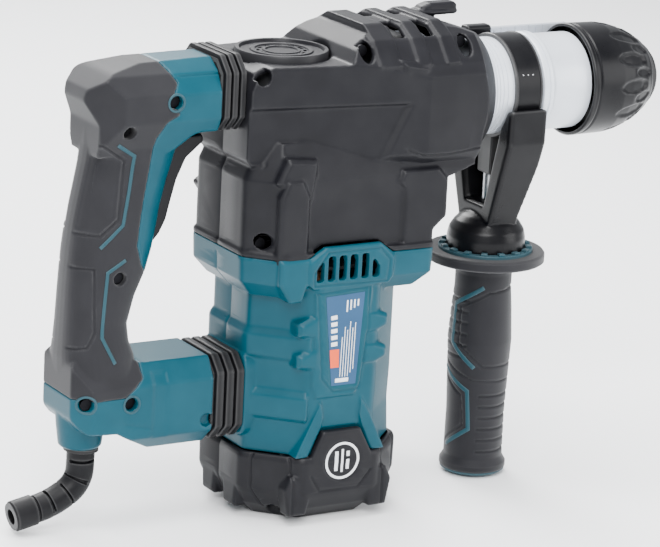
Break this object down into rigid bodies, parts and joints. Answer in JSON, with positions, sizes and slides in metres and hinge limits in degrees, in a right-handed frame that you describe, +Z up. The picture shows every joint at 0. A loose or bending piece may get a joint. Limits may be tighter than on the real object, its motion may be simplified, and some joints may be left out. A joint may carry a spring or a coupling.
{
  "type": "demolition hammer",
  "caption": "Corded rotary demolition hammer with a vertical motor, sprung D-handle, pull-back chuck, swivelling side handle with depth rod, and full crank drive inside.",
  "frame": {"origin": "centre of the motor cap's flat foot, on the motor axis", "axes": "+X along the hammer axis towards the chuck, +Y to the operator's left, +Z up along the motor axis"},
  "size_m": [0.4227, 0.114, 0.2926],
  "materials": {
    "casing_black": "fine moulded texture",
    "casing_teal": "satin moulded",
    "grip_rubber": "soft overmould",
    "rubber_black": "matt",
    "neck_metal": "satin powder coat",
    "cast_alloy": "as cast",
    "steel_bright": "ground",
    "steel_dark": "hardened and oiled",
    "chuck_black": "satin",
    "teal_trim": "satin trim",
    "copper": "lacquered windings",
    "carbon": "graphite",
    "zinc": "zinc plated",
    "rod_grey": "satin"
  },
  "bodies": {
    "tool_body": {"gear_cover_left": "casing_black", "gear_cover_right": "casing_black", "motor_housing": "casing_teal", "motor_cap": "casing_black", "gear_case": "cast_alloy", "barrel_housing": "neck_metal", "cover_screws": "zinc", "cap_screws": "zinc", "stator": "steel_dark", "brush_holders": "chuck_black", "carbon_brushes": "carbon", "motor_top_bearing": "steel_bright", "motor_bottom_bearing": "steel_bright", "crank_bearing": "steel_bright", "layshaft_bearing": "steel_bright", "spindle_bearing": "steel_bright", "spindle_seal": "rubber_black", "upper_bellows": "rubber_black", "lower_bellows": "rubber_black", "damper_guides": "steel_bright", "damper_springs": "zinc"},
    "armature": {"armature_shaft": "steel_bright", "rotor_core": "steel_dark", "rotor_windings": "copper", "commutator": "copper", "fan": "chuck_black"},
    "crank": {"crank_gear": "steel_dark", "crank_shaft": "steel_bright"},
    "layshaft": {"bevel_pinion": "steel_dark", "layshaft_gear": "steel_dark"},
    "spindle": {"spindle": "steel_bright", "bevel_ring_gear": "steel_dark", "locking_balls": "steel_bright", "dust_cap": "rubber_black", "chuck_spring": "zinc"},
    "chuck_sleeve": {"chuck_sleeve": "chuck_black"},
    "piston": {"piston": "steel_bright", "wrist_pin": "steel_bright", "piston_ring": "steel_dark"},
    "connecting_rod": {"connecting_rod": "steel_dark", "crank_pin": "steel_bright"},
    "striker": {"striker": "steel_bright"},
    "beat_piece": {"beat_piece": "steel_dark"},
    "rear_handle": {"rear_handle_left": "grip_rubber", "rear_handle_right": "grip_rubber", "handle_screws": "zinc", "switch": "chuck_black", "cable_guard": "rubber_black"},
    "trigger": {"trigger": "rubber_black"},
    "side_handle": {"clamp_band": "steel_dark", "clamp_stud": "zinc", "handle_yoke": "casing_black", "rod_clip": "casing_black"},
    "side_grip": {"side_grip": "casing_black", "grip_cap": "teal_trim", "lock_ring": "teal_trim"},
    "depth_rod": {"depth_rod": "rod_grey"},
    "grease_cap": {"grease_cap": "casing_black"},
    "top_selector": {"top_selector": "casing_black"},
    "side_selector": {"side_selector": "casing_black"}
  },
  "joints": [
    {"name": "handle_damper", "type": "slide", "parent": "tool_body", "child": "rear_handle", "axis": [1, 0, 0], "range_m": [0, 0.005], "stiffness_N_per_m": 6000, "springref_m": -0.001, "deforming": ["upper_bellows", "lower_bellows", "damper_springs"]},
    {"name": "trigger_pull", "type": "hinge", "parent": "rear_handle", "child": "trigger", "pos_m": [-0.113, 0, 0.172], "axis": [0, -1, 0], "range_deg": [0, 7], "stiffness_Nm_per_rad": 0.6, "springref_deg": -5.73},
    {"name": "armature_spin", "type": "hinge", "parent": "tool_body", "child": "armature", "pos_m": [0, 0, 0.1], "axis": [0, 0, 1], "continuous": true},
    {"name": "crank_spin", "type": "hinge", "parent": "tool_body", "child": "crank", "pos_m": [-0.026, 0, 0.2], "axis": [0, 0, 1], "continuous": true},
    {"name": "layshaft_spin", "type": "hinge", "parent": "tool_body", "child": "layshaft", "pos_m": [0.028, 0, 0.2], "axis": [0, 0, 1], "continuous": true},
    {"name": "spindle_spin", "type": "hinge", "parent": "tool_body", "child": "spindle", "pos_m": [0.1, 0, 0.242], "axis": [1, 0, 0], "continuous": true},
    {"name": "chuck_pull", "type": "slide", "parent": "spindle", "child": "chuck_sleeve", "axis": [1, 0, 0], "range_m": [-0.008, 0], "stiffness_N_per_m": 1500, "springref_m": 0.002},
    {"name": "piston_slide", "type": "slide", "parent": "tool_body", "child": "piston", "axis": [1, 0, 0], "range_m": [0, 0.022]},
    {"name": "connecting_rod_swing", "type": "hinge", "parent": "piston", "child": "connecting_rod", "pos_m": [0.016, 0, 0.242], "axis": [0, 0, 1], "range_deg": [-12, 12]},
    {"name": "striker_slide", "type": "slide", "parent": "tool_body", "child": "striker", "axis": [1, 0, 0], "range_m": [0, 0.01]},
    {"name": "beat_piece_slide", "type": "slide", "parent": "tool_body", "child": "beat_piece", "axis": [1, 0, 0], "range_m": [0, 0.006]},
    {"name": "side_handle_swing", "type": "hinge", "parent": "tool_body", "child": "side_handle", "pos_m": [0.125, 0, 0.242], "axis": [1, 0, 0], "continuous": true},
    {"name": "side_grip_turn", "type": "hinge", "parent": "side_handle", "child": "side_grip", "pos_m": [0.1252, 0, 0.07], "axis": [0, 0, 1], "continuous": true},
    {"name": "depth_rod_slide", "type": "slide", "parent": "side_handle", "child": "depth_rod", "axis": [1, 0, 0], "range_m": [-0.003, 0.04]},
    {"name": "grease_cap_turn", "type": "hinge", "parent": "tool_body", "child": "grease_cap", "pos_m": [-0.0227, 0, 0.268], "axis": [0, 0, 1], "continuous": true},
    {"name": "top_selector_turn", "type": "hinge", "parent": "tool_body", "child": "top_selector", "pos_m": [0.079, 0.01, 0.288], "axis": [0, 0, 1], "range_deg": [0, 90]},
    {"name": "side_selector_turn", "type": "hinge", "parent": "tool_body", "child": "side_selector", "pos_m": [-0.019, 0.05, 0.195], "axis": [0, 1, 0], "range_deg": [0, 90]}
  ],
  "couplings": [
    {"joint": "crank_spin", "follows": "armature_spin", "ratio": -0.18182},
    {"joint": "layshaft_spin", "follows": "armature_spin", "ratio": -0.16667},
    {"joint": "spindle_spin", "follows": "armature_spin", "ratio": -0.047619}
  ]
}
